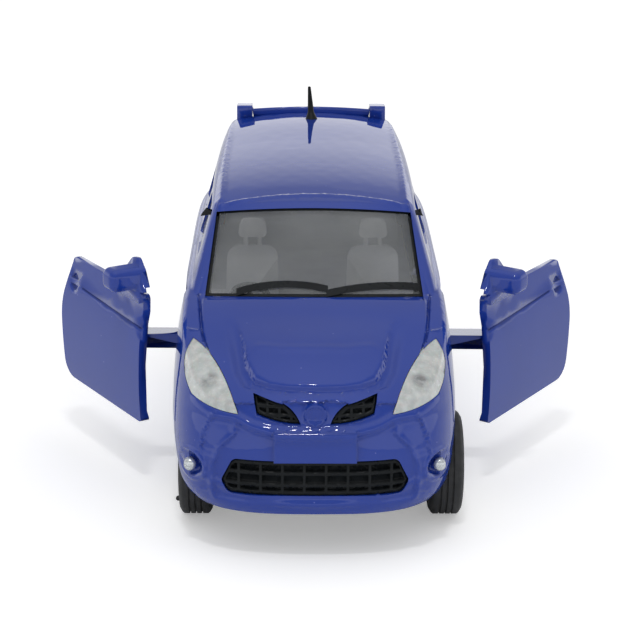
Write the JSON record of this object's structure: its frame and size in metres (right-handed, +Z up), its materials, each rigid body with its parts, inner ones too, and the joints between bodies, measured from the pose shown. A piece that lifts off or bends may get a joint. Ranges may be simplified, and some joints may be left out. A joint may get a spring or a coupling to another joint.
{
  "type": "pull back toy car",
  "caption": "Die-cast toy people carrier with opening front doors, clear windows and a geared pull back motor on the rear axle.",
  "frame": {"origin": "middle of the footprint, on the surface that the wheels stand on", "axes": "-Y towards the nose, +X towards the car's own left side, +Z up"},
  "size_m": [0.0892, 0.1171, 0.0535],
  "materials": {
    "blue_paint": "glossy dark blue enamel on die-cast zinc",
    "clear_window": "clear moulded plastic, slightly smoky",
    "lamp_lens": "milky clear lens, silvered behind",
    "tail_red": "red lens",
    "lamp_silver": "silver dot",
    "black_trim": "satin black moulding",
    "chassis_black": "black moulding",
    "cabin_grey": "dark grey moulding",
    "tyre_rubber": "black rubber",
    "rim_silver": "silver paint",
    "steel": "bright steel wire",
    "spring_steel": "blued spring steel",
    "gear_white": "natural nylon",
    "case_white": "off-white moulding"
  },
  "bodies": {
    "root": {"body_shell": "blue_paint", "door_pins": "steel", "windscreen": "clear_window", "rear_window": "clear_window", "side_windows_left": "clear_window", "side_windows_right": "clear_window", "wipers": "black_trim", "headlight_left": "lamp_lens", "headlight_right": "lamp_lens", "tail_lamp_left": "tail_red", "tail_lamp_right": "tail_red", "upper_grille": "black_trim", "lower_grille": "black_trim", "fog_lamps": "lamp_silver", "rear_spoiler": "blue_paint", "antenna": "black_trim", "step_gear_pin": "steel", "idler_pin": "steel", "motor_case_left": "case_white", "motor_case_right": "case_white", "chassis": "chassis_black", "chassis_screws": "steel", "interior": "cabin_grey", "steering_wheel": "black_trim"},
    "door_left": {"door_left": "blue_paint"},
    "door_right": {"door_right": "blue_paint"},
    "front_wheels": {"front_axle": "steel", "rim_front_left": "rim_silver", "rim_front_right": "rim_silver", "tyre_front_left": "tyre_rubber", "tyre_front_right": "tyre_rubber"},
    "rear_wheels": {"rear_axle": "steel", "rim_rear_left": "rim_silver", "rim_rear_right": "rim_silver", "tyre_rear_left": "tyre_rubber", "tyre_rear_right": "tyre_rubber", "axle_pinion": "gear_white"},
    "idler_gear": {"idler_gear": "gear_white"},
    "step_gear": {"step_gear": "gear_white"},
    "spring_gear": {"spring_gear": "gear_white", "mainspring": "spring_steel"}
  },
  "joints": [
    {"name": "door_left_hinge", "type": "hinge", "parent": "root", "child": "door_left", "pos_m": [0.01848, -0.03642, 0.024], "axis": [0, 0, -1], "range_deg": [-33, 3]},
    {"name": "door_right_hinge", "type": "hinge", "parent": "root", "child": "door_right", "pos_m": [-0.01848, -0.03642, 0.024], "axis": [0, 0, 1], "range_deg": [-31, 5]},
    {"name": "front_wheels_spin", "type": "hinge", "parent": "root", "child": "front_wheels", "pos_m": [0, -0.0375, 0.0083], "axis": [1, 0, 0], "continuous": true},
    {"name": "rear_wheels_spin", "type": "hinge", "parent": "root", "child": "rear_wheels", "pos_m": [0, 0.0385, 0.0083], "axis": [1, 0, 0], "continuous": true},
    {"name": "idler_gear_spin", "type": "hinge", "parent": "root", "child": "idler_gear", "pos_m": [0, 0.0385, 0.01498], "axis": [1, 0, 0], "continuous": true},
    {"name": "step_gear_spin", "type": "hinge", "parent": "root", "child": "step_gear", "pos_m": [0, 0.02823, 0.01442], "axis": [1, 0, 0], "continuous": true},
    {"name": "spring_gear_spin", "type": "hinge", "parent": "root", "child": "spring_gear", "pos_m": [0, 0.01746, 0.01291], "axis": [1, 0, 0], "continuous": true}
  ],
  "couplings": [
    {"joint": "idler_gear_spin", "follows": "rear_wheels_spin", "ratio": -0.83333},
    {"joint": "step_gear_spin", "follows": "rear_wheels_spin", "ratio": 0.45455},
    {"joint": "spring_gear_spin", "follows": "rear_wheels_spin", "ratio": -0.17483}
  ]
}
